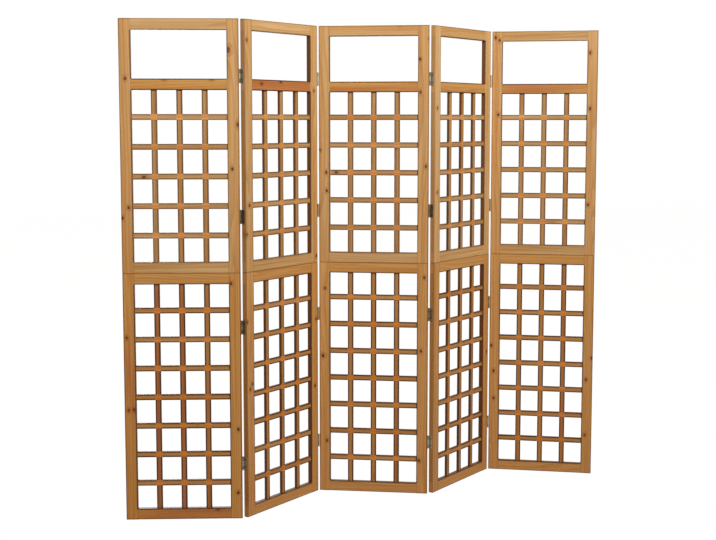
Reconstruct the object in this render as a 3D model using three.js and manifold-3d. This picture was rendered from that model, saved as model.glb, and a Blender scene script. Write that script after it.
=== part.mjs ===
// A folding room divider of five trellis panels in solid fir, standing in its zig-zag.
// Every panel is two framed halves, one on the other, joined by dowels. The lower half is filled
// with a trellis of crossing bars, and the upper half has a shorter trellis under an open window.
// The bars end in stub tenons that sit in mortises in the frames. Each fold has four small steel
// butt hinges on the edges of its panels, with the knuckles at the back on the first and third
// fold, and at the front on the second and fourth.
//
// Millimetres, +Z up, front towards -Y. In a panel's own axes X runs along its width from the
// left edge, Y through its thickness from the front face, and Z up from the floor.
import * as THREE from 'three';
import { mergeVertices } from 'three/addons/utils/BufferGeometryUtils.js';
import Module from 'manifold-3d';

const wasm = await Module();
wasm.setup();

// Panel
const panelCount = 5;
const panelWidth = 420;
const panelHeight = 1800;
const lowerHalfHeight = 900;
const frameThickness = 18;
const stileWidth = 42;
const railWidth = 40;
const transomWidth = 40;
const windowHeight = 170;

// Trellis
const barWidth = 21;
const barThickness = 10;
const uprights = 3;
const lowerCrossbars = 7;
const upperCrossbars = 5;

// Joints in the wood
const tenonLength = 12;
const transomTenonLength = 16;
const transomTenonThickness = 8;
const transomTenonShoulder = 6;
const dowelRadius = 4;
const dowelReach = 25;
const dowelSides = 6;
const woodFit = 0.3;
const seamGap = 0.3;

// Hinges
const hingeHeights = { bottom: 200, lower: 700, upper: 1100, top: 1600 };
const hingeLength = 50;
const leafThickness = 1.2;
const leafDepth = 14;
const leafSeat = 0.3;
const foldGap = 4;
const axisStandoff = 2.8;
const knuckleRadius = 2.5;
const knuckleSides = 10;
const knuckleGap = 0.4;
const pinRadius = 1.1;
const pinFit = 0.3;
const pinSides = 6;
const screwHoleRadius = 1.5;
const screwHeadRadius = 2.6;
const screwSpacing = 28;
const screwSides = 6;

// How the screen stands, in degrees: the first panel's turn, then the fold at each hinge line
const firstTurn = -16;
const folds = [52, 61, 61, 64];

const fir = new THREE.MeshStandardMaterial({ color: 0xb8763c, roughness: 0.6, metalness: 0 });
const firBars = new THREE.MeshStandardMaterial({ color: 0xb06c36, roughness: 0.62, metalness: 0 });
const steel = new THREE.MeshStandardMaterial({ color: 0x8f918b, roughness: 0.38, metalness: 0.9 });

// A closed three.js geometry as a solid that can be joined and cut
function solidOf(geometry) {
  const bare = geometry.clone();
  bare.deleteAttribute('normal');
  bare.deleteAttribute('uv');
  const merged = mergeVertices(bare, 1e-4);
  const mesh = new wasm.Mesh({
    numProp: 3,
    vertProperties: new Float32Array(merged.attributes.position.array),
    triVerts: new Uint32Array(merged.index.array),
  });
  return new wasm.Manifold(mesh);
}

// A solid as a three.js geometry again
function geometryOf(solid) {
  const mesh = solid.getMesh();
  const geometry = new THREE.BufferGeometry();
  geometry.setAttribute('position', new THREE.BufferAttribute(mesh.vertProperties, 3));
  geometry.setIndex(new THREE.BufferAttribute(mesh.triVerts, 1));
  const faceted = geometry.toNonIndexed();
  faceted.computeVertexNormals();
  return faceted;
}

// A block between two corners
function block(low, high) {
  const size = high.map((v, i) => v - low[i]);
  const geometry = new THREE.BoxGeometry(...size);
  geometry.translate(...low.map((v, i) => v + size[i] / 2));
  return solidOf(geometry);
}

// A round bar along Z; its radius is that of its corners
function roundBar(radius, low, high, sides) {
  const geometry = new THREE.CylinderGeometry(radius, radius, high - low, sides);
  geometry.rotateX(Math.PI / 2);
  geometry.translate(0, 0, (low + high) / 2);
  return solidOf(geometry);
}

function joined(solids) {
  return wasm.Manifold.union(solids);
}

function cutFrom(solid, cutters) {
  return solid.subtract(joined(cutters));
}

// The bars of one trellis in a rectangular opening, evenly spaced. Each is a pair of corners, and
// each reaches past the opening by its tenons; `extra` is added all round, for the mortises.
function trellisBars(bottom, top, crossbars, extra) {
  const left = stileWidth;
  const right = panelWidth - stileWidth;
  const cellWidth = (right - left - uprights * barWidth) / (uprights + 1);
  const cellHeight = (top - bottom - crossbars * barWidth) / (crossbars + 1);
  const front = (frameThickness - barThickness) / 2 - extra;
  const back = (frameThickness + barThickness) / 2 + extra;
  const reach = tenonLength + extra;
  const bars = [];
  for (let i = 0; i < uprights; i += 1) {
    const x = left + cellWidth + i * (cellWidth + barWidth);
    bars.push([[x - extra, front, bottom - reach], [x + barWidth + extra, back, top + reach]]);
  }
  for (let i = 0; i < crossbars; i += 1) {
    const z = bottom + cellHeight + i * (cellHeight + barWidth);
    bars.push([[left - reach, front, z - extra], [right + reach, back, z + barWidth + extra]]);
  }
  return bars;
}

function trellis(bottom, top, crossbars) {
  return joined(trellisBars(bottom, top, crossbars, 0).map(([a, b]) => block(a, b)));
}

function mortises(bottom, top, crossbars) {
  return trellisBars(bottom, top, crossbars, woodFit).map(([a, b]) => block(a, b));
}

// Levels of the two halves
const upperBottom = lowerHalfHeight + seamGap;
const transomTop = panelHeight - railWidth - windowHeight;
const transomBottom = transomTop - transomWidth;

// Stiles the full height of a half, with a rail between them at each end
function frameOf(bottom, top) {
  const outside = block([0, 0, bottom], [panelWidth, frameThickness, top]);
  const inside = block(
    [stileWidth, -1, bottom + railWidth],
    [panelWidth - stileWidth, frameThickness + 1, top - railWidth],
  );
  return outside.subtract(inside);
}

// The two dowels stand in the middle of the stiles and cross the seam between the halves
function dowels(low, high, extra) {
  const places = [stileWidth / 2, panelWidth - stileWidth / 2];
  return places.map((x) =>
    roundBar(dowelRadius + extra, low, high, dowelSides).translate([x, frameThickness / 2, 0]));
}

function lowerFrame() {
  const cut = cutFrom(
    frameOf(0, lowerHalfHeight),
    mortises(railWidth, lowerHalfHeight - railWidth, lowerCrossbars),
  );
  const pegs = dowels(lowerHalfHeight - dowelReach, lowerHalfHeight + dowelReach, 0);
  return joined([cut, ...pegs]);
}

function transomTenons(extra) {
  const front = (frameThickness - transomTenonThickness) / 2 - extra;
  const back = (frameThickness + transomTenonThickness) / 2 + extra;
  const reach = transomTenonLength + extra;
  const low = transomBottom + transomTenonShoulder - extra;
  const high = transomTop - transomTenonShoulder + extra;
  return block([stileWidth - reach, front, low], [panelWidth - stileWidth + reach, back, high]);
}

function upperFrame() {
  return cutFrom(frameOf(upperBottom, panelHeight), [
    ...mortises(upperBottom + railWidth, transomBottom, upperCrossbars),
    transomTenons(woodFit),
    ...dowels(upperBottom - 1, lowerHalfHeight + dowelReach + woodFit, woodFit),
  ]);
}

function transom() {
  const rail = block(
    [stileWidth + woodFit, 0, transomBottom],
    [panelWidth - stileWidth - woodFit, frameThickness, transomTop],
  );
  return cutFrom(
    joined([rail, transomTenons(0)]),
    mortises(upperBottom + railWidth, transomBottom, upperCrossbars),
  );
}

// A hinge leaf on its pin's axis, halfway up the hinge. Its own panel is on the +X side, and the
// knuckles stand out of that panel's face on the +Y side. One leaf holds the end knuckles and the
// pin; the other has the middle knuckle, bored for the pin.
function hingeLeaf(withPin) {
  const half = hingeLength / 2;
  const third = hingeLength / 6;
  const outer = foldGap / 2 - leafSeat;
  const inner = outer - leafThickness;
  const clear = knuckleRadius + knuckleGap;
  const plate = block([inner, -axisStandoff - leafDepth, -half], [outer, 0, half]);
  const ends = [
    [-half, -third - knuckleGap / 2],
    [third + knuckleGap / 2, half],
  ];
  const middle = [[-third + knuckleGap / 2, third - knuckleGap / 2]];
  const own = withPin ? ends : middle;
  const others = withPin ? [[-third - knuckleGap / 2, third + knuckleGap / 2]]
    : [[-half - 1, -third + knuckleGap / 2], [third - knuckleGap / 2, half + 1]];
  const notches = others.map(([a, b]) => block([inner - 1, -clear, a], [outer + 1, 1, b]));
  const knuckles = own.map(([a, b]) => roundBar(knuckleRadius, a, b, knuckleSides));
  const leaf = joined([cutFrom(plate, [...notches, ...screwHoles(inner, outer)]), ...knuckles]);
  if (withPin) {
    return joined([leaf, roundBar(pinRadius, -half, half, pinSides)]);
  }
  return leaf.subtract(roundBar(pinRadius + pinFit, -half - 1, half + 1, pinSides));
}

// Countersunk holes through the leaf, wide on the side away from the wood
function screwHoles(inner, outer) {
  return [-screwSpacing / 2, screwSpacing / 2].map((z) => {
    const cone = new THREE.CylinderGeometry(
      screwHoleRadius, screwHeadRadius, outer - inner + 0.02, screwSides);
    cone.rotateZ(-Math.PI / 2);
    cone.translate((inner + outer) / 2, -axisStandoff - leafDepth / 2, z);
    return solidOf(cone);
  });
}

function named(name, geometry, material) {
  const mesh = new THREE.Mesh(geometry, material);
  mesh.name = name;
  return mesh;
}

// Where the pin's axis crosses a panel's own axes: beyond its left or right edge, at front or back
function axisPlace(side, atBack) {
  const x = side === 'left' ? -foldGap / 2 : panelWidth + foldGap / 2;
  const y = atBack ? frameThickness + axisStandoff : -axisStandoff;
  return new THREE.Vector2(x, y);
}

const shapes = {
  lowerFrame: geometryOf(lowerFrame()),
  lowerTrellis: geometryOf(trellis(railWidth, lowerHalfHeight - railWidth, lowerCrossbars)),
  upperFrame: geometryOf(upperFrame()),
  upperTrellis: geometryOf(trellis(upperBottom + railWidth, transomBottom, upperCrossbars)),
  transom: geometryOf(transom()),
  pinLeaf: geometryOf(hingeLeaf(true)),
  boredLeaf: geometryOf(hingeLeaf(false)),
};

// The leaves of one hinge line that belong to one panel. The leaf is the same upside down, so a
// half turn about X, Y or Z points it at either panel with its knuckles at either face.
function addLeaves(panel, line, side, atBack) {
  const withPin = side === 'right';
  const place = axisPlace(side, atBack);
  for (const [level, height] of Object.entries(hingeHeights)) {
    const leafSide = withPin ? 'left' : 'right';
    const shape = withPin ? shapes.pinLeaf : shapes.boredLeaf;
    const leaf = named(`hinge_${line}_${level}_${leafSide}_leaf`, shape, steel);
    leaf.position.set(place.x, place.y, height);
    if (side === 'right' && atBack) leaf.rotation.y = Math.PI;
    if (side === 'right' && !atBack) leaf.rotation.z = Math.PI;
    if (side === 'left' && !atBack) leaf.rotation.x = Math.PI;
    panel.add(leaf);
  }
}

function makePanel(number) {
  const panel = new THREE.Group();
  const name = `panel_${number}`;
  panel.add(named(`${name}_lower_frame`, shapes.lowerFrame, fir));
  panel.add(named(`${name}_lower_trellis`, shapes.lowerTrellis, firBars));
  panel.add(named(`${name}_upper_frame`, shapes.upperFrame, fir));
  panel.add(named(`${name}_upper_trellis`, shapes.upperTrellis, firBars));
  panel.add(named(`${name}_transom`, shapes.transom, fir));
  const oddLeft = number % 2 === 0;
  if (number > 1) addLeaves(panel, `${number - 1}_${number}`, 'left', oddLeft);
  if (number < panelCount) addLeaves(panel, `${number}_${number + 1}`, 'right', !oddLeft);
  return panel;
}

// The panels stand edge to edge on their pins: each is turned by its fold about the pin's axis
const divider = new THREE.Group();
let turn = THREE.MathUtils.degToRad(firstTurn);
let corner = new THREE.Vector2(0, 0);
const origin = new THREE.Vector2(0, 0);
for (let number = 1; number <= panelCount; number += 1) {
  const panel = makePanel(number);
  panel.position.set(corner.x, corner.y, 0);
  panel.rotation.z = turn;
  divider.add(panel);
  if (number < panelCount) {
    const atBack = number % 2 === 1;
    const fold = THREE.MathUtils.degToRad(folds[number - 1]);
    const pin = axisPlace('right', atBack).rotateAround(origin, turn).add(corner);
    turn += atBack ? fold : -fold;
    corner = pin.sub(axisPlace('left', atBack).rotateAround(origin, turn));
  }
}

// The screen stands with its middle over the origin
const bounds = new THREE.Box3().setFromObject(divider, true);
const middle = bounds.getCenter(new THREE.Vector3());
divider.position.set(-middle.x, -middle.y, 0);

export default divider;
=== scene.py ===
# %% [markdown]
# # A five-panel trellis room divider
#
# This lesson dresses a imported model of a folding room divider. The model comes with every
# panel, trellis and hinge leaf at its real size, and with the hinge lines it folds on. What is
# missing is the timber: separate stiles, rails and bars with their own grain, half-lapped
# crossings, eased edges and knots. We add that, give the hinges a plated steel finish and
# screws, and set the whole on a pale floor in soft light.

import math
import random

import bpy
import numpy as np
from mathutils import Matrix, Vector


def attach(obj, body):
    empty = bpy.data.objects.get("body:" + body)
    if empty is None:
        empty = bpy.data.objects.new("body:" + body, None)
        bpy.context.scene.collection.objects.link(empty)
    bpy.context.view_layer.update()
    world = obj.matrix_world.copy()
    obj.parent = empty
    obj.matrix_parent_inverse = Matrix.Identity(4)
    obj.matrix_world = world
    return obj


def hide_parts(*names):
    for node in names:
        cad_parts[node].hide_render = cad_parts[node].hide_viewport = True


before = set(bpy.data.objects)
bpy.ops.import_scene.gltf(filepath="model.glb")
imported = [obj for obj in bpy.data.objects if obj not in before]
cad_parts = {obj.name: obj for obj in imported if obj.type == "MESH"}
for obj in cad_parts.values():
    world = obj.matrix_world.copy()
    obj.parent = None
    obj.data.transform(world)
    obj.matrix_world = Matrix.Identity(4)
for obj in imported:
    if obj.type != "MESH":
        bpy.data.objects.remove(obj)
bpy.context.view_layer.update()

# %% [markdown]
# ## Sizes
#
# Every panel is alike, so one set of sizes in metres describes them all. Along a panel we
# measure `x` from its left edge, `y` through its thickness from the front face and `z` from the
# floor. The trellis cells aren't given: they are what the stiles, rails and bars leave over,
# shared out evenly, which is how a joiner spaces them too.
#
# The bars are thinner than the frame and lie inside it. `BAR_FRONT` and `BAR_BACK` are the
# depths of a crossbar's faces, `UPRIGHT_FRONT` is the front face of an upright, and at `LAP` the
# two halves of a crossing meet.

# %% Sizes of a panel
PANELS = range(1, 6)
WIDTH = 0.420
HEIGHT = 1.800
HALF = 0.900
SEAM = 0.0003
THICK = 0.018
STILE = 0.042
RAIL = 0.040
WINDOW = 0.170
BAR = 0.021
BAR_FRONT = 0.004
BAR_BACK = 0.014
UPRIGHT_FRONT = 0.0052
LAP = 0.009
EASE = 0.0009
BAR_EASE = 0.0007
SEAM_EASE = 0.0012
TINY = 1e-4
X, Y, Z = 0, 1, 2

OPENING = WIDTH - 2 * STILE
UPPER_FOOT = HALF + SEAM
TRANSOM_Z = HEIGHT - RAIL - WINDOW - RAIL


def evenly(low, high, count):
    """The low edges of `count` bars spaced evenly between two levels."""
    cell = (high - low - count * BAR) / (count + 1)
    return [low + cell + i * (cell + BAR) for i in range(count)]


UPRIGHT_X = evenly(STILE, WIDTH - STILE, 3)
CELL = UPRIGHT_X[0] - STILE
LOWER_Z = evenly(RAIL, HALF - RAIL, 7)
UPPER_Z = evenly(UPPER_FOOT + RAIL, TRANSOM_Z, 5)
print("cell width %.1f mm, height %.1f mm" % (1e3 * CELL, 1e3 * (LOWER_Z[0] - RAIL)))

# %% [markdown]
# ## Where each panel stands
#
# The frame's own solids say where a panel is. The lowest corners of its lower frame are its
# footprint, a long thin rectangle. The footprint's longest side gives the direction of `x`, and a
# matrix built from it carries a piece from the panel's own axes to the room.


# %% A panel's place
def place_of(number):
    """The matrix from a panel's own axes to the room."""
    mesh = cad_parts["panel_%d_lower_frame" % number].data
    corners = {tuple(round(c, 6) for c in v.co.xy) for v in mesh.vertices if v.co.z < TINY}
    corners = [Vector(c) for c in sorted(corners)]
    sides = [q - p for p in corners for q in corners if q.x > p.x]
    x = min(sides, key=lambda side: abs(side.length - WIDTH)).normalized()
    y = Vector((-x.y, x.x))
    corner = sum(corners, Vector((0, 0))) / len(corners) - x * WIDTH / 2 - y * THICK / 2
    return Matrix(((x.x, y.x, 0, corner.x), (x.y, y.y, 0, corner.y), (0, 0, 1, 0), (0, 0, 0, 1)))


PLACE = {number: place_of(number) for number in PANELS}
for number in PANELS:
    turn = math.degrees(math.atan2(PLACE[number][1][0], PLACE[number][0][0]))
    print("panel", number, "turned %.1f degrees" % turn)

# %% [markdown]
# ## The timber pieces
#
# The real panels are planed softwood: square stiles and rails with the sharp edge just taken off
# with sandpaper, and thinner bars between them. A cube primitive gives the planed block, and
# bevelling only its four long edges eases them while the cut ends stay crisp, so that a rail
# still butts tightly against its stile. We model each kind of piece once, in the panel's own axes
# with one end at the origin, and copy it later. With each kind we keep the axis that its grain
# runs along.


# %% A planed block and a bevel
def only(obj):
    """Selects one object and makes it active."""
    bpy.ops.object.select_all(action="DESELECT")
    obj.select_set(True)
    bpy.context.view_layer.objects.active = obj


def block(name, size):
    """A block from the origin to `size`, as one object whose place is in its mesh."""
    bpy.ops.object.select_all(action="DESELECT")
    bpy.ops.mesh.primitive_cube_add(size=1, location=[s / 2 for s in size], scale=size)
    obj = bpy.context.active_object
    obj.name = obj.data.name = name
    bpy.ops.object.transform_apply(location=True, rotation=True, scale=True)
    return obj


def bevel_edges(obj, wanted, offset, segments):
    """Bevels the edges whose two ends pass the test `wanted`."""
    only(obj)
    bpy.ops.object.mode_set(mode="EDIT")
    bpy.ops.mesh.select_mode(type="EDGE")
    bpy.ops.mesh.select_all(action="DESELECT")
    bpy.ops.object.mode_set(mode="OBJECT")
    for edge in obj.data.edges:
        edge.select = wanted(*(obj.data.vertices[i].co for i in edge.vertices))
    bpy.ops.object.mode_set(mode="EDIT")
    bpy.ops.mesh.bevel(offset=offset, segments=segments, affect="EDGES")
    bpy.ops.object.mode_set(mode="OBJECT")


print("block and bevel ready")


# %% Model the stiles and the rail
def eased(name, size, along, ease=EASE):
    """A planed block whose edges along one axis are rounded over."""
    obj = block(name, size)
    bevel_edges(obj, lambda a, b: abs((b - a)[along]) > TINY, ease, 2)
    return obj


def stile(name, length, seam_end):
    """A stile is eased at the end that meets the other half, too, so the seam is a groove."""
    obj = eased(name, (STILE, THICK, length), Z)
    bevel_edges(obj, lambda a, b: abs(a.z - seam_end) + abs(b.z - seam_end) < TINY, SEAM_EASE, 2)
    return obj


KINDS = {
    "lower_stile": (stile("lower_stile", HALF, HALF), Z),
    "upper_stile": (stile("upper_stile", HEIGHT - UPPER_FOOT, 0), Z),
    "rail": (eased("rail", (OPENING, THICK, RAIL), X), X),
}
print("kinds so far:", sorted(KINDS))

# %% [markdown]
# ## Half-lapped bars
#
# Where an upright meets a crossbar, each loses half its thickness and the two slot together. In
# the photograph the crossbars stand a little proud: a fine shadow lies on every upright
# just under each crossing. So the uprights are set back by a bit over a millimetre.
# The notches are cut with a Boolean modifier: one cutter cube, repeated by an Array
# modifier at the spacing of the bars it has to clear. The cutter reaches a little past the wood
# on every open side, so that no thin skin is left standing.

# %% Cut the notches
OVERCUT = 0.001


def apply_modifiers(obj):
    """Makes all that the object's modifiers do permanent."""
    only(obj)
    for modifier in list(obj.modifiers):
        bpy.ops.object.modifier_apply(modifier=modifier.name)


def carve(obj, operation, *others):
    """Joins others to the object, or cuts them from it, and removes them."""
    for other in others:
        modifier = obj.modifiers.new("carve", "BOOLEAN")
        modifier.operation = operation
        modifier.solver = "EXACT"
        modifier.object = other
        apply_modifiers(obj)
        bpy.data.objects.remove(other)


def notched(bar, size, places):
    """Cuts notches of `size` into the bar at a row of evenly spaced places."""
    cutter = block("cutter", size)
    cutter.data.transform(Matrix.Translation(places[0]))
    row = cutter.modifiers.new("row", "ARRAY")
    row.count = len(places)
    row.use_relative_offset = False
    row.use_constant_offset = True
    row.constant_offset_displace = places[1] - places[0]
    apply_modifiers(cutter)
    carve(bar, "DIFFERENCE", cutter)
    return bar


print("cutters reach %.0f mm past the wood" % (1e3 * OVERCUT))


# %% Model the bars
def crossbar():
    """A crossbar keeps its front half where the uprights pass behind it."""
    bar = eased("crossbar", (OPENING, BAR_BACK - BAR_FRONT, BAR), X, BAR_EASE)
    notch = (BAR, BAR_BACK - LAP + OVERCUT, BAR + 2 * OVERCUT)
    places = [Vector((x - STILE, LAP - BAR_FRONT, -OVERCUT)) for x in UPRIGHT_X]
    return notched(bar, notch, places)


def upright(name, low, high, levels):
    """An upright keeps its back half where the crossbars pass in front of it."""
    bar = eased(name, (BAR, BAR_BACK - UPRIGHT_FRONT, high - low), Z, BAR_EASE)
    notch = (BAR + 2 * OVERCUT, LAP - UPRIGHT_FRONT + OVERCUT, BAR)
    places = [Vector((-OVERCUT, -OVERCUT, z - low)) for z in levels]
    return notched(bar, notch, places)


KINDS["crossbar"] = (crossbar(), X)
KINDS["lower_upright"] = (upright("lower_upright", RAIL, HALF - RAIL, LOWER_Z), Z)
KINDS["upper_upright"] = (upright("upper_upright", UPPER_FOOT + RAIL, TRANSOM_Z, UPPER_Z), Z)
for name, (obj, _) in KINDS.items():
    print(name, [round(1e3 * d, 1) for d in obj.dimensions], "mm,", len(obj.data.polygons), "faces")

# %% [markdown]
# ## What the wood needs to know
#
# Wood grain runs along a board, whichever way the board is turned. So each copy gets a vector
# attribute called `grain`: how far a point lies along the piece, across it and into it, shifted
# by a random amount, as if every piece were cut from another part of the tree. The material
# reads that instead of the room's coordinates. Three more attributes, `knot_1` to `knot_3`,
# measure from the large knots of a piece.
#
# Shade is painted into the wood's colour: the sawn sides round the openings are painted dark,
# and so is a band along their edges. `rim` measures the distance from a piece's two long
# sides, and its third part runs along the piece from the middle of its first crossing. A side
# that faces no opening gets less painted shade, so it counts as a little farther away. `outer`,
# on a stile, is the distance from the side next to the hinges, where only the corner is painted
# dark as shade. `tone` gives every piece its own colour, and the pieces with more tone get
# darker painted edge shade too.

# %% Write an attribute
FAR = 9.0
OUTSIDE = 0.004
TREE_REACH = 6.0
KNOTS_EACH = 3
NO_KNOT = ((FAR, FAR, FAR), 1)
rng = random.Random(31)


def write_vector(mesh, name, values):
    attribute = mesh.attributes.new(name, "FLOAT_VECTOR", "POINT")
    attribute.data.foreach_set("vector", np.asarray(values, dtype=np.float32).ravel())


def write_number(mesh, name, value):
    """One number for the whole piece, or a list with one for each of its points."""
    attribute = mesh.attributes.new(name, "FLOAT", "POINT")
    values = np.broadcast_to(np.float32(value), len(mesh.vertices))
    attribute.data.foreach_set("value", np.ascontiguousarray(values))


print("up to", KNOTS_EACH, "large knots a piece")


# %% What a piece knows
def grain_axes(mesh, along):
    """Columns: along the piece, across its face, through its thickness."""
    points = np.empty(3 * len(mesh.vertices), dtype=np.float32)
    mesh.vertices.foreach_get("co", points)
    points = points.reshape(-1, 3)
    return points[:, [along, Z if along == X else X, Y]]


def write_wood(mesh, along, open_sides, first_crossing, knots, tone):
    """Gives a piece its grain, knots, rim, outer side and tone."""
    grain = grain_axes(mesh, along)
    shift = [rng.uniform(-TREE_REACH, TREE_REACH) for _ in range(3)]
    write_vector(mesh, "grain", grain + np.array(shift))
    knots = (knots + [NO_KNOT] * KNOTS_EACH)[:KNOTS_EACH]
    for i, (place, size) in enumerate(knots, 1):
        write_vector(mesh, "knot_%d" % i, (grain - np.array(place)) / size)
    low, high = grain[:, 1].min(), grain[:, 1].max()
    from_low = grain[:, 1] - low + (0 if open_sides[0] else OUTSIDE)
    from_high = high - grain[:, 1] + (0 if open_sides[1] else OUTSIDE)
    write_vector(mesh, "rim", np.stack([from_low, from_high, grain[:, 0] - first_crossing], 1))
    is_stile = along == Z and not all(open_sides)
    from_outer = (from_high if open_sides[0] else from_low) - OUTSIDE
    write_number(mesh, "outer", from_outer if is_stile else FAR)
    write_number(mesh, "tone", tone)


print("grain shifted by up to", TREE_REACH, "m")

# %% [markdown]
# ## Knots and odd boards
#
# The photograph shows dark knots here and there, and one transom much redder than the rest.
# Each knot below is given as it would be marked out at the bench: the panel and the piece, then
# how far along the piece and across it, in millimetres, from its lower left corner. A third
# number, where there is one, makes the knot larger than the rest. The second table holds the
# tone of the boards that stand out: 0 is pale and 1 is red.

# %% Where the large knots are
KNOT_DEPTH = 0.001


def bench(*marks):
    """Knot places in metres, a little below the face, and their sizes."""
    return [((along / 1e3, across / 1e3, KNOT_DEPTH), size[0] if size else 1)
            for along, across, *size in marks]


KNOTS = {
    (1, "upper_left_stile"): bench((690, 22), (235, 27), (198, 4)),
    (1, "lower_left_stile"): bench((668, 12), (404, 14), (406, 33)),
    (1, "upper_right_stile"): bench((790, 4, 1.7), (528, 39, 1.4), (372, 17)),
    (1, "lower_right_stile"): bench((862, 8), (330, 30), (96, 27)),
    (1, "transom"): bench((116, 38), (283, 38)),
    (1, "upper_crossbar_3"): bench((40, 9)),
    (1, "lower_bottom_rail"): bench((288, 35)),
    (2, "upper_left_stile"): bench((826, 15), (240, 22), (136, 6)),
    (2, "lower_left_stile"): bench((720, 6), (490, 30), (472, 18)),
    (2, "transom"): bench((52, 24), (160, 34)),
    (2, "upper_right_stile"): bench((655, 22), (25, 34)),
    (2, "lower_right_stile"): bench((680, 30), (420, 22)),
    (3, "upper_left_stile"): bench((430, 3), (345, 28), (275, 30)),
    (3, "lower_left_stile"): bench((799, 22), (535, 14, 1.2), (199, 29)),
    (3, "upper_right_stile"): bench((773, 8), (650, 10), (370, 32)),
    (3, "lower_right_stile"): bench((845, 28), (130, 10), (560, 16)),
    (3, "upper_crossbar_3"): bench((24, 11)),
    (3, "upper_upright_3"): bench((400, 5)),
    (4, "upper_left_stile"): bench((590, 20), (270, 22)),
    (4, "lower_right_stile"): bench((495, 32)),
    (5, "upper_left_stile"): bench((875, 13), (864, 29), (566, 27)),
    (5, "lower_left_stile"): bench((520, 8), (414, 18), (300, 20)),
    (5, "upper_right_stile"): bench((812, 10), (590, 14), (205, 12)),
    (5, "lower_right_stile"): bench((480, 38), (390, 16), (160, 14)),
}
TONES = {
    (1, "lower_left_stile"): 0.82, (1, "lower_right_stile"): 0.75, (1, "lower_bottom_rail"): 0.84,
    (1, "lower_upright_1"): 1.0, (1, "lower_upright_2"): 1.0, (1, "lower_upright_3"): 0.95,
    (2, "transom"): 1.0, (3, "transom"): 0.85, (5, "transom"): 0.85,
    (4, "upper_left_stile"): -0.1, (4, "upper_right_stile"): -0.3,
}
print("knots marked:", sum(len(places) for places in KNOTS.values()))

# %% [markdown]
# ## Assemble the panels
#
# Each half is two stiles, a bottom rail and a top rail with bars between them. The upper half
# has one rail more, the transom, and above it the window stays open. A piece without a tone of
# its own gets a random one. The lower half's pieces get redder, darker tones than the upper
# half's, which paints in part of the darkening towards the floor as shade, and the uprights are
# darker than the crossbars. One more attribute, `level`, is a point's height over the floor,
# which tells where rails meet a stile and where the two halves meet.

# %% Copy a piece
# The lower half's redder, darker tones also paint in part of the shade towards the floor.
TONE_RANGES = {"lower_frame": (0.4, 0.7), "upper_frame": (0.05, 0.4), "transom": (0.7, 0.8),
               "lower_trellis": (0.3, 0.75), "upper_trellis": (0.0, 0.3)}
UPRIGHT_TONE = 0.15


def own_copy(source, name):
    """One more object with a mesh of its own."""
    obj = source.copy()
    obj.data = source.data.copy()
    obj.name = obj.data.name = name
    bpy.context.collection.objects.link(obj)
    return obj


def copy_piece(number, kind, name, corner, stands_for, open_sides):
    """One more timber piece of a kind, at `corner` in its panel's axes."""
    source, along = KINDS[kind]
    obj = own_copy(source, "p%d_%s" % (number, name))
    tone = rng.uniform(*TONE_RANGES[stands_for]) + UPRIGHT_TONE * ("upright" in kind)
    tone = TONES.get((number, name), tone)
    crossing = UPRIGHT_X[0] + BAR / 2 - STILE if kind == "crossbar" else 0
    write_wood(obj.data, along, open_sides, crossing, KNOTS.get((number, name), []), tone)
    write_number(obj.data, "level", [v.co.z + corner[2] for v in obj.data.vertices])
    obj.data.transform(PLACE[number] @ Matrix.Translation(corner))
    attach(obj, "panel_%d" % number)
    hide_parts("panel_%d_%s" % (number, stands_for))
    return obj


print("tones drawn for:", sorted(TONE_RANGES))

# %% Place every piece
LOW_SIDE, HIGH_SIDE, BOTH_SIDES = (True, False), (False, True), (True, True)


def pieces_of_a_panel():
    """For each timber piece: its kind, name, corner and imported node, and which of its two long
    sides face an opening."""
    right = WIDTH - STILE
    for half, foot, levels in (("lower", 0, LOWER_Z), ("upper", UPPER_FOOT, UPPER_Z)):
        sides, bars = half + "_frame", half + "_trellis"
        yield half + "_stile", half + "_left_stile", (0, 0, foot), sides, HIGH_SIDE
        yield half + "_stile", half + "_right_stile", (right, 0, foot), sides, LOW_SIDE
        yield "rail", half + "_bottom_rail", (STILE, 0, foot), sides, HIGH_SIDE
        for i, x in enumerate(UPRIGHT_X, 1):
            corner = (x, UPRIGHT_FRONT, foot + RAIL)
            yield half + "_upright", "%s_upright_%d" % (half, i), corner, bars, BOTH_SIDES
        for i, level in enumerate(levels, 1):
            corner = (STILE, BAR_FRONT, level)
            yield "crossbar", "%s_crossbar_%d" % (half, i), corner, bars, BOTH_SIDES
    yield "rail", "lower_top_rail", (STILE, 0, HALF - RAIL), "lower_frame", LOW_SIDE
    yield "rail", "transom", (STILE, 0, TRANSOM_Z), "transom", BOTH_SIDES
    yield "rail", "top_rail", (STILE, 0, HEIGHT - RAIL), "upper_frame", LOW_SIDE


timber = [copy_piece(number, *piece) for number in PANELS for piece in pieces_of_a_panel()]
for source, _ in KINDS.values():
    bpy.data.objects.remove(source)
print("timber pieces:", len(timber))

# %% [markdown]
# ## Shader maths in plain expressions
#
# A wood material is mostly arithmetic: distances, bands, thresholds. Written with nodes by hand
# it becomes hard to read, so a small class wraps one output socket and lets us write
# `1 - mask * 0.5`.


# %% The expression helper
class Value:
    """One output socket of a material's node tree."""

    def __init__(self, tree, socket):
        self.tree = tree
        self.socket = socket

    def maths(self, operation, *others):
        """This value put together with others."""
        return maths(self.tree, operation, self, *others)

    def __add__(self, other):
        return self.maths("ADD", other)

    def __sub__(self, other):
        return self.maths("SUBTRACT", other)

    def __mul__(self, other):
        return self.maths("MULTIPLY", other)

    def __rsub__(self, other):
        return maths(self.tree, "SUBTRACT", other, self)

    def __abs__(self):
        return self.maths("ABSOLUTE")

    __radd__ = __add__
    __rmul__ = __mul__

    def smooth(self, low, high):
        """0 at `low`, 1 at `high`, with soft ends."""
        inputs = {"Value": self, "From Min": low, "From Max": high}
        return node(self.tree, "ShaderNodeMapRange", {"interpolation_type": "SMOOTHSTEP"}, inputs)


print("expressions ready")

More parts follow.
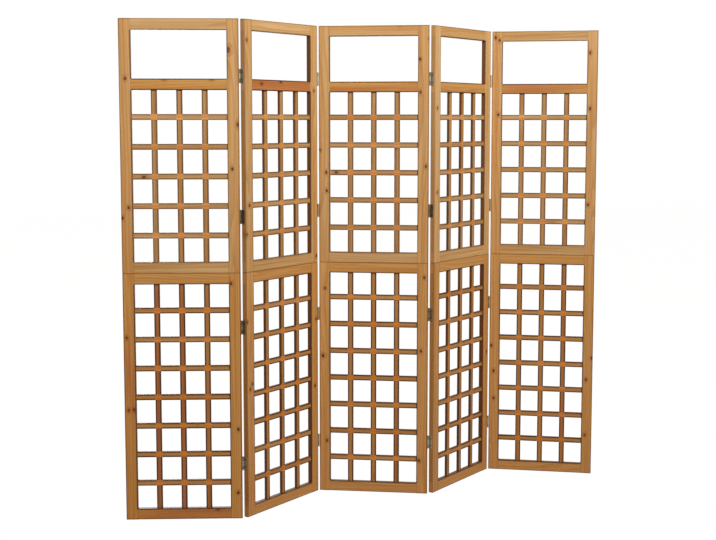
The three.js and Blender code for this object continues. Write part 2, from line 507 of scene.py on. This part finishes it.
# %% [markdown]
# ## One method for every node
#
# `node` sets a node's settings first, since they decide which sockets it has. Then it fills the
# inputs: a value is linked and anything else is written in. A colour ramp's stops count as one
# of its settings.


# %% Add a node
def maths(tree, operation, *terms):
    """One operation on terms, each a value or a number."""
    return node(tree, "ShaderNodeMath", {"operation": operation}, dict(enumerate(terms)))


def node(tree, kind, settings=None, inputs=None, output=0):
    """Adds a node, makes its settings, fills its inputs, and gives back one output."""
    made = tree.nodes.new(kind)
    for name, setting in (settings or {}).items():
        if name == "stops":
            fill_ramp(made.color_ramp, setting)
        else:
            setattr(made, name, setting)
    for name, term in (inputs or {}).items():
        if isinstance(term, Value):
            tree.links.new(term.socket, made.inputs[name])
        else:
            made.inputs[name].default_value = term
    return Value(tree, made.outputs[output]) if made.outputs else None


def fill_ramp(ramp, stops):
    while len(ramp.elements) < len(stops):
        ramp.elements.new(1.0)
    for element, (place, colour) in zip(ramp.elements, stops):
        element.position = place
        element.color = (*colour, 1.0)


print("nodes ready")

# %% [markdown]
# ## Nodes that every material shares
#
# A few nodes come back in every material: colours laid over each other, noise that is finer
# in one direction than in another, a shallow relief, and the surface itself. A coat of stain or
# dirt lets the wood show through, so it multiplies the colour below it. The colour sockets of a
# mixing node share their names with others, so we ask for them by number.

# %% Shared nodes
MIX_FACTOR, MIX_A, MIX_B, MIX_COLOUR = 0, 6, 7, 2


def mixed(tree, factor, a, b, blend="MIX"):
    """Colour a where factor is 0, b where it is 1."""
    settings = {"data_type": "RGBA", "blend_type": blend}
    a, b = ((*c, 1.0) if isinstance(c, tuple) else c for c in (a, b))
    inputs = {MIX_FACTOR: factor, MIX_A: a, MIX_B: b}
    return node(tree, "ShaderNodeMix", settings, inputs, MIX_COLOUR)


def coated(tree, colour, *coats):
    """The colour under thin coats, each given by its strength and its tint."""
    for strength, tint in coats:
        colour = mixed(tree, strength, colour, tint, "MULTIPLY")
    return colour


def stretched(tree, vector, scale):
    """The vector multiplied part by part."""
    return node(tree, "ShaderNodeVectorMath", {"operation": "MULTIPLY"}, {0: vector, 1: scale})


def noise(tree, vector, scale, detail=2.0, roughness=0.5):
    """Soft noise with about `scale` waves a metre along each part of the vector."""
    inputs = {"Vector": stretched(tree, vector, scale), "Scale": 1.0, "Detail": detail,
              "Roughness": roughness}
    return node(tree, "ShaderNodeTexNoise", None, inputs)


def bump(tree, height, strength, distance):
    inputs = {"Height": height, "Strength": strength, "Distance": distance}
    return node(tree, "ShaderNodeBump", None, inputs)


print("colours, noise and relief ready")


# %% Start and finish a material
def new_material(name):
    material = bpy.data.materials.new(name)
    material.use_nodes = True
    tree = material.node_tree
    tree.nodes.clear()
    return material, tree


def finish_material(tree, **sockets):
    """A Principled surface with these sockets, by their names with underscores for spaces."""
    names = {name.replace("_", " "): term for name, term in sockets.items()}
    surface = node(tree, "ShaderNodeBsdfPrincipled", None, names)
    node(tree, "ShaderNodeOutputMaterial", None, {"Surface": surface})


print("material helpers ready")

# %% [markdown]
# ## Fir wood: knots
#
# A knot is a branch that ran through the tree, so on a board it is a dark oval with a darker
# halo where the fibres bend round it. The marked knots are measured with the attributes, and a
# scatter of cells adds the pin knots that any fir board has. A little noise on the distance
# keeps the ovals from being perfect.

# %% Knots in the wood
KNOT_EDGE, KNOT_HALO = (0.0032, 0.0048), (0.003, 0.014)
PIN_KNOT_EDGE, PIN_KNOT_HALO = (0.016, 0.030), (0.02, 0.12)


def read_vector(tree, name):
    return node(tree, "ShaderNodeAttribute", {"attribute_name": name}, None, "Vector")


def read_number(tree, name):
    return node(tree, "ShaderNodeAttribute", {"attribute_name": name}, None, "Fac")


def part(tree, vector, index):
    return node(tree, "ShaderNodeSeparateXYZ", None, {0: vector}, index)


def knot_distance(tree):
    """Distance from the nearest marked knot, whose branch runs into the board."""
    lengths = []
    for i in range(1, KNOTS_EACH + 1):
        reach = stretched(tree, read_vector(tree, "knot_%d" % i), (0.7, 1.0, 0.3))
        operation = {"operation": "LENGTH"}
        lengths.append(node(tree, "ShaderNodeVectorMath", operation, {0: reach}, "Value"))
    nearest = lengths[0]
    for length in lengths[1:]:
        nearest = nearest.maths("MINIMUM", length)
    return nearest


def knot_masks(tree, grain):
    """Where marked knots and pin knots are, then the halos of both."""
    uneven = (noise(tree, grain, (160.0, 260.0, 260.0), 1.0) - 0.5) * 0.003
    distance = knot_distance(tree) + uneven
    cells = node(tree, "ShaderNodeTexVoronoi", None,
                 {"Vector": stretched(tree, grain, (6.0, 9.0, 9.0)), "Scale": 1.0})
    return (1 - distance.smooth(*KNOT_EDGE), 1 - cells.smooth(*PIN_KNOT_EDGE),
            1 - distance.smooth(*KNOT_HALO), 1 - cells.smooth(*PIN_KNOT_HALO))


print("a marked knot is up to %.0f mm across" % (2e3 * KNOT_EDGE[1]))

# %% [markdown]
# ## Fir wood: rings and colour
#
# Sawn fir shows pale early wood with narrow, more orange late-wood lines. The lines are slices
# through growth rings: straight on the narrow edge of a board, and long tongues on its
# wide face. Take a slowly wandering noise field along the board, add the depth into the
# board, and cut the sum into even steps: that gives both pictures from one formula. Near a
# knot the field is pushed aside, so the lines flow round it.
#
# The ground colour comes from the piece's tone, which drifts a little over its length. Streaks,
# late wood, fibres and halos are coats over it.

# %% Rings and colour
TILT, WANDER, RIPPLE = 0.3, 0.04, 0.001
KNOT_PUSH, PIN_KNOT_PUSH = 0.006, 0.003
DRIFT = 0.6
TONE_STOPS = [(0.0, (0.70, 0.470, 0.226)), (0.12, (0.61, 0.404, 0.181)),
              (0.4, (0.64, 0.372, 0.138)), (0.8, (0.61, 0.335, 0.095)), (1.0, (0.52, 0.21, 0.068))]
STREAK_TINT = (0.84, 0.73, 0.57)
LATE_TINT = (0.72, 0.52, 0.34)
FIBRE_TINT = (0.80, 0.74, 0.62)
HALO_TINT = (0.66, 0.46, 0.30)


def late_wood(tree, grain, ring, ripple, push):
    """1 on the late-wood lines. They are `ring` metres apart, and `push` moves them aside."""
    across, depth = part(tree, grain, 1), part(tree, grain, 2)
    wander = noise(tree, grain, (0.9, 10.0, 3.0), 2.0)
    field = (depth + across * TILT + wander * WANDER + ripple * RIPPLE + push) * (1 / ring)
    step = field.maths("FRACT")
    return step.smooth(0.35, 0.95) * (1 - step.smooth(0.95, 1.0))


def wood_colour(tree, grain, tone, streak, late, fibre, halo):
    """The colour of the bare wood."""
    slow = noise(tree, grain, (2.5, 20.0, 10.0), 2.0)
    shade = tone + (slow - 0.5) * DRIFT
    ground = node(tree, "ShaderNodeValToRGB", {"stops": TONE_STOPS}, {0: shade})
    return coated(tree, ground, (streak.smooth(0.38, 0.70), STREAK_TINT), (late * 0.5, LATE_TINT),
                  (fibre.smooth(0.35, 0.75) * 0.5, FIBRE_TINT), (halo, HALO_TINT))


print("ground colours from pale to red:", len(TONE_STOPS))

# %% [markdown]
# ## Fir wood: stain
#
# Shade is painted into the colour. The sides round the openings are painted dark, and so is a
# band along their edges on the face, and dark lines mark the corners beside the hinges, the free
# ends and the seam between the halves. Two places stay free of it: the edges of a bar where
# another one covers it, and the stiles' edges where a rail lies against them.

# %% Where the painted shade lies and where it doesn't
PITCH = CELL + BAR
CROSSING_FADE, RAIL_FADE = 0.002, 0.0005
RAILS_AT = [(RAIL / 2, RAIL / 2), (HALF, RAIL), (TRANSOM_Z + RAIL / 2, RAIL / 2),
            (HEIGHT - RAIL / 2, RAIL / 2)]
CORNER_START, CORNER_END = (0.0, 0.0005), (0.0022, 0.0046)


def under_crossing(along):
    """1 where another bar crosses this one and keeps the painted edge shade off its edges."""
    turn = along * (1 / PITCH) + 0.5
    off_crossing = (turn.maths("FRACT") - 0.5) * PITCH
    return 1 - abs(off_crossing).smooth(BAR / 2, BAR / 2 + CROSSING_FADE)


def beside_rails(level):
    """1 at the levels where the ends of rails lie against a stile."""
    beside = 0
    for middle, reach in RAILS_AT:
        beside = beside + 1 - abs(level - middle).smooth(reach - RAIL_FADE, reach + RAIL_FADE)
    return beside


def corner_line(distance):
    """1 on the corner that a distance starts from, 0 on the side behind it and on the face."""
    return distance.smooth(*CORNER_START) * (1 - distance.smooth(*CORNER_END))


print("rails meet a stile around", [round(middle, 3) for middle, _ in RAILS_AT], "m")

# %% Painted shade on the wood
# These are painted shade: the colour of the sides round the openings, the tint of the bands along
# their edges, and the tints of the corner lines and the seam line.
SIDE_WIDTH, SEAM_WIDTH = (0.0, 0.0006), (0.0008, 0.0026)
EDGE_START = 0.3
RAIL_CLEARING, SIDE_SHADE_COVER = 0.85, 0.85
SHADE_STRENGTH, SHADE_BY_TONE = 0.62, 0.6
BARE_TINT = (1.12, 0.86, 0.66)
EDGE_SHADE_TINT = (0.09, 0.052, 0.026)
SIDE_SHADE_COLOUR = (0.14, 0.048, 0.009)
CORNER_SHADE_TINT = (0.26, 0.17, 0.09)
SEAM_SHADE_TINT = (0.30, 0.20, 0.12)


def with_painted_shade(tree, colour, tone, edge_width, wash, crossings, butts):
    """The wood's colour with painted shade on it. See `fir` for what the last four mean."""
    rim = read_vector(tree, "rim")
    level = read_number(tree, "level")
    near = part(tree, rim, 0).maths("MINIMUM", part(tree, rim, 1))
    bare = under_crossing(part(tree, rim, 2)) * crossings
    open_side = 1 - beside_rails(level) * butts * RAIL_CLEARING
    # The edge band and the dark sides round the openings are painted shade.
    edge = (1 - near.smooth(edge_width * EDGE_START, edge_width)) * (1 - bare) * open_side
    side = (1 - near.smooth(*SIDE_WIDTH)) * open_side
    # The corner lines beside the hinges and at the free ends, and the seam line, are painted shade.
    ends = corner_line(level.maths("MINIMUM", HEIGHT - level))
    corner = corner_line(read_number(tree, "outer")).maths("MAXIMUM", ends)
    seam = 1 - abs(level - HALF).smooth(*SEAM_WIDTH)
    strength = SHADE_STRENGTH + tone * SHADE_BY_TONE
    colour = coated(tree, colour, (1 - bare, wash), (bare, BARE_TINT), (edge * strength, EDGE_SHADE_TINT))
    colour = mixed(tree, side * SIDE_SHADE_COVER, colour, SIDE_SHADE_COLOUR)
    return coated(tree, colour, (corner * strength * 0.8, CORNER_SHADE_TINT), (seam * 0.5, SEAM_SHADE_TINT))


# The tints set above are painted shade.
print("stain tints ready")

# %% [markdown]
# ## Fir wood: the finish
#
# Now the parts come together. The hearts of the knots go on last, over the painted shade,
# because they are so dark that it hardly changes them. The finish is a thin satin varnish, a
# little duller along the fibres, which also stand up by a hair's breadth. Stiles and rails are
# alike, but only stiles have rails against their edges. The bars have finer rings, a wider band
# of painted edge shade and a darker tint over the whole bar.

# %% The fir material
HEART_DARK, HEART_LIGHT = (0.04, 0.017, 0.006), (0.13, 0.052, 0.015)
FRAME_RING, BAR_RING = 0.0034, 0.0028
FRAME_EDGE, BAR_EDGE = 0.0052, 0.0070
NO_WASH, UPRIGHT_WASH, CROSSBAR_WASH = (1.0, 1.0, 1.0), (0.84, 0.80, 0.77), (0.90, 0.87, 0.85)


def fir(name, ring, edge_width, wash, crossings=0, butts=0):
    """Planed fir with rings `ring` metres apart. Painted edge shade reaches `edge_width` over the
    face and `wash` tints the whole piece. `crossings` is 1 on bars that others cross, and `butts`
    on stiles, which get no painted edge shade where a rail lies against them."""
    material, tree = new_material(name)
    grain = read_vector(tree, "grain")
    tone = read_number(tree, "tone")
    ripple = noise(tree, grain, (9.0, 60.0, 30.0), 1.0)
    streak = noise(tree, grain, (1.2, 70.0, 50.0), 3.0, 0.6)
    fibre = noise(tree, grain, (22.0, 900.0, 900.0), 2.0)
    knot, pin_knot, halo, pin_halo = knot_masks(tree, grain)
    late = late_wood(tree, grain, ring, ripple, halo * KNOT_PUSH + pin_halo * PIN_KNOT_PUSH)

    colour = wood_colour(tree, grain, tone, streak, late, fibre, halo * 0.7 + pin_halo * 0.3)
    # Painted shade goes on here: dark sides round the openings, edge bands, corner and seam lines.
    colour = with_painted_shade(tree, colour, tone, edge_width, wash, crossings, butts)
    heart = mixed(tree, ripple.smooth(0.3, 0.7), HEART_DARK, HEART_LIGHT)
    colour = mixed(tree, knot.maths("MAXIMUM", pin_knot * 0.8), colour, heart)

    rough = 0.46 + fibre * 0.16 + late * 0.05 - knot * 0.1
    normal = bump(tree, fibre * 0.5 + late * 0.4 + streak * 0.2, 0.25, 0.0004)
    finish_material(tree, Base_Color=colour, Roughness=rough, Normal=normal,
                    IOR=1.46, Specular_IOR_Level=0.35)
    return material


WOODS = {
    "stile": fir("fir stiles", FRAME_RING, FRAME_EDGE, NO_WASH, butts=1),
    "rail": fir("fir rails", FRAME_RING, FRAME_EDGE, NO_WASH),
    "upright": fir("fir uprights", BAR_RING, BAR_EDGE, UPRIGHT_WASH),
    "crossbar": fir("fir crossbars", BAR_RING, BAR_EDGE, CROSSBAR_WASH, crossings=1),
}
print("woods:", sorted(WOODS))

# %% [markdown]
# ## Wood on every piece
#
# A piece's name says what it is, and so which setting of the fir it gets. The transom has a name
# of its own, but it is a rail too.

# %% Give every piece its wood
for obj in timber:
    kind = next((kind for kind in WOODS if kind in obj.name), "rail")
    obj.data.materials.append(WOODS[kind])
    "fir_frame" if kind in ("stile", "rail") else "fir_bars"
print("wood on", len(timber), "pieces")

# %% [markdown]
# ## Butt hinges
#
# Four small butt hinges join each pair of panels. A leaf is a stamped plate with two
# countersunk holes, rolled into knuckles at one edge. One leaf has the two end knuckles, the
# other the middle one, and a pin runs through all three. We build both leaves with
# the pin along Z: the plate lies on the +X side, and the knuckles stand clear of the
# face of the wood. Each knuckle takes a third of the leaf's length, less its half of the gaps
# beside it.

# %% Sizes of a hinge
LEAF_LONG = 0.050
LEAF_NEAR, LEAF_THICK = 0.0005, 0.0012
LEAF_REACH = 0.0168
LEAF_CORNER = 0.002
KNUCKLE = 0.0025
KNUCKLE_GAP = 0.0004
PIN = 0.0011
BORE = PIN + 0.0003
PIN_DOME = 0.0005
ROUND = 32
SCREW_HEAD, SCREW_HOLE, HOLE_SLACK = 0.0026, 0.0015, 0.00005
SCREW_AT = [(-0.0098, -0.014), (-0.0098, 0.014)]
RECESS_LONG, RECESS_WIDE, RECESS_DEEP = 0.0032, 0.0006, 0.0008
FOLD_GAP, STANDOFF = 0.004, 0.0028

LEAF_END = LEAF_LONG / 2
MIDDLE_END = LEAF_LONG / 6 - KNUCKLE_GAP / 2
OUTER_START = LEAF_LONG / 6 + KNUCKLE_GAP / 2
print("leaf %.1f mm long, middle knuckle %.1f mm" % (1e3 * LEAF_LONG, 2e3 * MIDDLE_END))

# %% [markdown]
# ## Hinge leaves
#
# A plain block is the plate. Cones across it sink the screw holes, and a round bar a little
# thicker than a knuckle clears room for the other leaf's. Then the leaf's own knuckles are
# joined on, and last the bore is cut through them all. Stamped leaves are rolled round the pin
# instead, which leaves the same shape.


# %% Round bars and countersinks
def rod(name, radius, low, high):
    """A round bar along Z from `low` to `high`."""
    bpy.ops.object.select_all(action="DESELECT")
    bpy.ops.mesh.primitive_cylinder_add(vertices=ROUND, radius=radius, depth=high - low,
                                        location=(0, 0, (low + high) / 2))
    obj = bpy.context.active_object
    obj.name = obj.data.name = name
    bpy.ops.object.transform_apply(location=True, rotation=True, scale=True)
    return obj


def countersink(y, z, slack):
    """A cone across the plate, wide on the side away from the wood."""
    bpy.ops.object.select_all(action="DESELECT")
    bpy.ops.mesh.primitive_cone_add(
        vertices=ROUND, radius1=SCREW_HEAD + slack, radius2=SCREW_HOLE + slack,
        depth=LEAF_THICK + slack, rotation=(0, math.pi / 2, 0),
        location=(LEAF_NEAR + LEAF_THICK / 2, y, z))
    obj = bpy.context.active_object
    bpy.ops.object.transform_apply(location=True, rotation=True, scale=True)
    return obj


def smoothed(obj, sharp=35):
    """Shades the piece smoothly, but for edges sharper than this angle in degrees."""
    only(obj)
    bpy.ops.object.shade_smooth_by_angle(angle=math.radians(sharp))
    return obj


print("round pieces have", ROUND, "sides")


# %% Model the hinge leaves
def leaf(name, knuckles, rooms):
    """A leaf with its knuckles, and with rooms for those of the other leaf."""
    plate = block(name, (LEAF_THICK, LEAF_REACH, LEAF_LONG))
    plate.data.transform(Matrix.Translation((LEAF_NEAR, -LEAF_REACH, -LEAF_END)))
    bevel_edges(plate, lambda a, b: max(a.y, b.y) < -LEAF_REACH / 2 and abs(a.x - b.x) > TINY,
                LEAF_CORNER, 4)
    carve(plate, "DIFFERENCE", *(countersink(y, z, HOLE_SLACK) for y, z in SCREW_AT),
          *(rod("room", KNUCKLE + KNUCKLE_GAP, low, high) for low, high in rooms))
    carve(plate, "UNION", *(rod("knuckle", KNUCKLE, low, high) for low, high in knuckles))
    carve(plate, "DIFFERENCE", rod("bore", BORE, -LEAF_LONG, LEAF_LONG))
    return smoothed(plate)


END_LEAF = leaf("end_leaf", [(-LEAF_END, -OUTER_START), (OUTER_START, LEAF_END)],
                [(-OUTER_START, OUTER_START)])
MIDDLE_LEAF = leaf("middle_leaf", [(-MIDDLE_END, MIDDLE_END)],
                   [(-LEAF_END - OVERCUT, -MIDDLE_END), (MIDDLE_END, LEAF_END + OVERCUT)])
print("leaf faces:", len(END_LEAF.data.polygons), len(MIDDLE_LEAF.data.polygons))

# %% [markdown]
# ## Pin and screws
#
# The pin is a length of wire with its ends just domed. The screws are countersunk, with a cross
# recess, and lie flush with the plate. One screw is modelled in the first hole of a leaf.


# %% Model a pin and a screw
def domed_pin():
    """The pin is as long as the leaf, and its ends are slightly domed."""
    pin = rod("pin", PIN, -LEAF_END, LEAF_END)
    bevel_edges(pin, lambda a, b: abs(a.z - b.z) < TINY, PIN_DOME, 3)
    return smoothed(pin, 40)


def screw():
    """A countersunk head with a cross recess, flush with the plate at its first hole."""
    y, z = SCREW_AT[0]
    head = countersink(y, z, 0)
    head.name = head.data.name = "screw"
    for long_y, long_z in ((RECESS_LONG, RECESS_WIDE), (RECESS_WIDE, RECESS_LONG)):
        arm = block("arm", (RECESS_DEEP + OVERCUT, long_y, long_z))
        corner = (LEAF_NEAR - OVERCUT, y - long_y / 2, z - long_z / 2)
        arm.data.transform(Matrix.Translation(corner))
        carve(head, "DIFFERENCE", arm)
    return smoothed(head)


PIN_ROD = domed_pin()
SCREW = screw()
print("pin faces:", len(PIN_ROD.data.polygons), "screw faces:", len(SCREW.data.polygons))

# %% [markdown]
# ## Hang the panels
#
# A hinge has to stand on the side that its fold closes to, so the knuckles are at the back on
# every other fold and in front on the rest. One leaf lies on the right edge of a panel, the
# other on the left edge of the next. A half turn brings the modelled leaf to either place.
#
# The hinges carry painted reflection and painted shade in their colour: the two at the middle
# heights are painted brown, standing in for the darker surroundings they reflect, and the left
# leaves at the back folds are painted browner still as shade. The table below holds that
# darkening, 0 for new and 1 for brown.

# %% Where a hinge sits
HINGE_Z = {"bottom": 0.2, "lower": 0.7, "upper": 1.1, "top": 1.6}
BACK_FOLDS = (1, 3)
# Painted darker reflection by height; SHADED adds painted shade to the back folds' left leaves.
HINGE_DARKENING = {"back": {"bottom": 0.15, "lower": 0.7, "upper": 0.95, "top": 0.25},
           "front": {"bottom": 0.12, "lower": 0.5, "upper": 0.55, "top": 0.1}}
SHADED = 0.6


def hinge_place(number, on_right, at_back, height):
    """From the hinge's axes to the room; `on_right` is the panel's edge it sits on."""
    x = WIDTH + FOLD_GAP / 2 if on_right else -FOLD_GAP / 2
    y = THICK + STANDOFF if at_back else -STANDOFF
    if on_right:
        turn = Matrix.Rotation(math.pi, 4, "Y" if at_back else "Z")
    else:
        turn = Matrix.Identity(4) if at_back else Matrix.Rotation(math.pi, 4, "X")
    return PLACE[number] @ Matrix.Translation((x, y, height)) @ turn


print(len(HINGE_Z), "hinges on a fold, with knuckles at the back on folds", BACK_FOLDS)


# %% Put the hinges on the panels
def fitted(source, name, matrix, number, node_name, wear_and_shade):
    """A copy of a hinge piece, put in its place on a panel."""
    obj = own_copy(source, name)
    write_number(obj.data, "tone", wear_and_shade)
    obj.data.transform(matrix)
    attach(obj, "panel_%d" % number)
    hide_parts(node_name)
    return obj


def half_hinge(hinge, side, number, at_back, height, wear_and_shade):
    """A leaf and its screws; the left leaf carries the pin."""
    on_right = side == "left"
    place = hinge_place(number, on_right, at_back, height)
    shared = (number, "%s_%s_leaf" % (hinge, side), wear_and_shade)
    leaf_source = END_LEAF if on_right else MIDDLE_LEAF
    pieces = [fitted(leaf_source, "%s_%s" % (hinge, side), place, *shared)]
    for i, (_, z) in enumerate(SCREW_AT, 1):
        up = Matrix.Translation((0, 0, z - SCREW_AT[0][1]))
        pieces.append(fitted(SCREW, "%s_%s_screw_%d" % (hinge, side, i), place @ up, *shared))
    if on_right:
        pieces.append(fitted(PIN_ROD, hinge + "_pin", place, *shared))
    return pieces


fittings = []
for left in PANELS[:-1]:
    at_back = left in BACK_FOLDS
    for level, height in HINGE_Z.items():
        hinge = "hinge_%d_%d_%s" % (left, left + 1, level)
        wear_and_shade = HINGE_DARKENING["back" if at_back else "front"][level]
        # The left leaf of a back fold gets painted shade on top.
        fittings += half_hinge(hinge, "left", left, at_back, height, wear_and_shade + SHADED * at_back)
        fittings += half_hinge(hinge, "right", left + 1, at_back, height, wear_and_shade)
for source in (END_LEAF, MIDDLE_LEAF, PIN_ROD, SCREW):
    bpy.data.objects.remove(source)
print("hinge pieces:", len(fittings))

# %% [markdown]
# ## Plated steel
#
# The hinges are bright zinc on steel, a little yellowed, and painted brown where their tone
# holds painted reflection and painted shade.
# Fine brushing along the plate and cloudy patches of duller plating keep them from looking like
# mirrors. The screws are darker than the leaves they hold.

# %% The steel material
PLATE_STOPS = [(0.0, (0.54, 0.52, 0.45)), (0.3, (0.46, 0.43, 0.34)), (0.5, (0.45, 0.31, 0.15)),
               (0.7, (0.28, 0.22, 0.14)), (1.0, (0.15, 0.105, 0.065))]
SCREW_STOPS = [(0.0, (0.10, 0.08, 0.06)), (1.0, (0.05, 0.038, 0.025))]
SPOT_COLOUR = (0.16, 0.11, 0.06)
CLOUDINESS = 0.9


def steel(name, stops):
    """Plated steel whose colour runs through `stops` with the piece's own tone, painted shade."""
    material, tree = new_material(name)
    place = node(tree, "ShaderNodeTexCoord", None, None, "Object")
    cloud = noise(tree, place, (90.0, 90.0, 60.0), 3.0, 0.6)
    brush = noise(tree, place, (2500.0, 2500.0, 120.0), 1.0)
    spots = noise(tree, place, (700.0, 700.0, 700.0), 2.0)
    # The tone is painted reflection and painted shade; the clouds are patchy plating.
    wear_and_shade = read_number(tree, "tone") + (cloud - 0.5) * CLOUDINESS
    colour = node(tree, "ShaderNodeValToRGB", {"stops": stops}, {0: wear_and_shade})
    colour = mixed(tree, spots.smooth(0.60, 0.78) * 0.6, colour, SPOT_COLOUR)
    rough = 0.36 + wear_and_shade * 0.2 + brush * 0.1
    normal = bump(tree, brush * 0.6 + spots * 0.4, 0.2, 0.0001)
    finish_material(tree, Base_Color=colour, Metallic=1.0, Roughness=rough, Normal=normal)
    return material


PLATE, SCREW_STEEL = steel("plated steel", PLATE_STOPS), steel("screw steel", SCREW_STOPS)
for obj in fittings:
    obj.data.materials.append(SCREW_STEEL if "screw" in obj.name else PLATE)
print("screws:", sum("screw" in obj.name for obj in fittings))

# %% [markdown]
# ## Camera
#
# The picture is taken from a little above the middle of the screen and from its left. The lens
# and place come from matching the panels' corners in the photograph.

# %% Set the camera
camera = bpy.data.objects.new("camera", bpy.data.cameras.new("camera"))
bpy.context.collection.objects.link(camera)
camera.location = (-1.53105, -4.52201, 1.44134)
camera.rotation_euler = (math.radians(84.5212), 0, math.radians(-18.1447))
camera.data.sensor_width = 36
camera.data.lens = 62.9035
camera.data.shift_y = -0.0405
bpy.context.scene.camera = camera
print("camera %.2f m from the middle of the floor" % camera.location.length)

# %% [markdown]
# ## White ground
#
# The photograph is a cut-out on white. Seen by the camera, the floor and the sky are white; for
# all other light the sky is a dim, even fill, and the floor a warm one that bounces some of
# the lamp's light back up, which is why the feet look redder than the tops.

# %% The floor
FLOOR_BOUNCE, FLOOR_SEEN = (0.52, 0.23, 0.06), (0.9, 0.9, 0.9)
WHITE = (1, 1, 1, 1)


def seen_directly(tree):
    """1 for rays that show the background: straight, mirrored or through glass."""
    straight, mirrored, through = (
        node(tree, "ShaderNodeLightPath", None, None, name)
        for name in ("Is Camera Ray", "Is Glossy Ray", "Is Transmission Ray"))
    return straight.maths("MAXIMUM", mirrored).maths("MAXIMUM", through)


def floor_material():
    """White to the eye, but warm where its light falls on the wood. It keeps the shadow."""
    material, tree = new_material("white ground")
    seen = seen_directly(tree)
    colour = mixed(tree, seen, FLOOR_BOUNCE, FLOOR_SEEN)
    matt = node(tree, "ShaderNodeBsdfDiffuse", None, {"Color": colour})
    white = node(tree, "ShaderNodeEmission", None, {"Color": WHITE, "Strength": 1.04})
    shown = node(tree, "ShaderNodeMixShader", None, {0: seen * 0.95, 1: matt, 2: white})
    node(tree, "ShaderNodeOutputMaterial", None, {"Surface": shown})
    return material


bpy.ops.object.select_all(action="DESELECT")
bpy.ops.mesh.primitive_plane_add(size=30, location=(0, 0, 0))
floor = bpy.context.active_object
floor.name = "floor"
floor.data.materials.append(floor_material())
print("floor %.0f m wide" % floor.dimensions.x)

# %% The sky
FILL_COLOUR, FILL_STRENGTH = (1.0, 0.58, 0.28, 1), 0.15


def white_sky():
    """White to the eye, and a dim warm fill for everything else."""
    world = bpy.data.worlds.new("sky")
    world.use_nodes = True
    tree = world.node_tree
    tree.nodes.clear()
    fill_inputs = {"Color": FILL_COLOUR, "Strength": FILL_STRENGTH}
    fill = node(tree, "ShaderNodeBackground", None, fill_inputs)
    white = node(tree, "ShaderNodeBackground", None, {"Color": WHITE, "Strength": 1.0})
    shown = node(tree, "ShaderNodeMixShader", None, {0: seen_directly(tree), 1: fill, 2: white})
    node(tree, "ShaderNodeOutputWorld", None, {"Surface": shown})
    return world


bpy.context.scene.world = white_sky()
print("sky fill", FILL_STRENGTH)

# %% [markdown]
# ## Lamps
#
# The photograph's light is soft, and gives pale tops and no hard shadow. A large soft lamp
# stands high in front and a little to the right. A weaker one stands low behind the screen,
# where it lights only the backs.

# %% Set the lamps
bpy.context.scene.view_settings.view_transform = "Standard"


def lamp(name, place, aim, size, power, spread):
    """A round soft lamp `size` metres across, with `power` in watts and `spread` in degrees."""
    data = bpy.data.lights.new(name, "AREA")
    data.shape = "DISK"
    data.size = size
    data.energy = power
    data.spread = math.radians(spread)
    obj = bpy.data.objects.new(name, data)
    bpy.context.collection.objects.link(obj)
    obj.location = place
    obj.rotation_euler = (Vector(aim) - Vector(place)).to_track_quat("-Z", "Y").to_euler()
    return obj


lamps = [lamp("key", (0.75, -6.8, 5.5), (0, 0, 4.0), 1.2, 200, 82),
         lamp("back", (-0.4, 6.5, 1.5), (0, 0, 1.0), 1.6, 48, 82)]
print("lamps:", [(obj.name, obj.data.energy) for obj in lamps])
